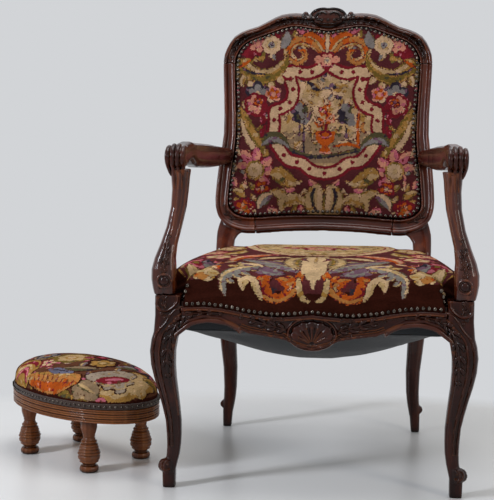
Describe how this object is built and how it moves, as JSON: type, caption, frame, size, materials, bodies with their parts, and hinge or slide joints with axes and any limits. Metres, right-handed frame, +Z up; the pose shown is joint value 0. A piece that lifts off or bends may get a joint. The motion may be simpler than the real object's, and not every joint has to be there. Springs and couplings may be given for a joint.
{
  "type": "armchair with footstool",
  "caption": "Open carved armchair with a stuffed seat, an upholstered back and cabriole legs, with a low oval footstool beside it.",
  "frame": {"origin": "middle of the bounding box of chair and footstool, on the floor", "axes": "+Z up; the chair faces -Y; +X to the right of someone who looks at the chair's front, with the footstool on the -X side"},
  "size_m": [1.0156, 0.7056, 1.0166],
  "materials": {
    "carved_walnut": "polished dark red-brown walnut",
    "stool_beech": "polished orange-brown beech",
    "bare_beech": "bare, unpolished",
    "needlepoint": "burgundy wool needlepoint with scrolls and flowers",
    "black_cotton": "plain weave, blue-black",
    "jute": "coarse natural weave",
    "spring_steel": "plain drawn wire",
    "gimp_braid": "dark brown woven braid"
  },
  "bodies": {
    "chair": {"front_leg_left": "carved_walnut", "front_leg_right": "carved_walnut", "rear_post_left": "carved_walnut", "rear_post_right": "carved_walnut", "front_rail": "carved_walnut", "side_rail_left": "carved_walnut", "side_rail_right": "carved_walnut", "rear_rail": "carved_walnut", "back_lower_rail": "carved_walnut", "crest_rail": "carved_walnut", "arm_support_left": "carved_walnut", "arm_support_right": "carved_walnut", "armrest_left": "carved_walnut", "armrest_right": "carved_walnut", "corner_block_front_left": "bare_beech", "corner_block_front_right": "bare_beech", "corner_block_rear_left": "bare_beech", "corner_block_rear_right": "bare_beech", "seat_webbing": "jute", "seat_spring_centre": "spring_steel", "seat_spring_front_left": "spring_steel", "seat_spring_front_right": "spring_steel", "seat_spring_rear_left": "spring_steel", "seat_spring_rear_right": "spring_steel", "seat_hessian": "jute", "seat_dust_cloth": "black_cotton", "seat_cushion": "needlepoint", "back_pad": "needlepoint", "back_webbing": "jute", "outside_back_cloth": "black_cotton"},
    "footstool": {"stool_rim": "stool_beech", "stool_board": "bare_beech", "stool_cushion": "needlepoint", "stool_gimp": "gimp_braid", "stool_leg_front_left": "stool_beech", "stool_leg_front_right": "stool_beech", "stool_leg_rear_left": "stool_beech", "stool_leg_rear_right": "stool_beech"}
  },
  "joints": [
    {"name": "stool_lift", "type": "slide", "parent": "chair", "child": "footstool", "axis": [0, 0, 1], "range_m": [0, 0.3]}
  ]
}
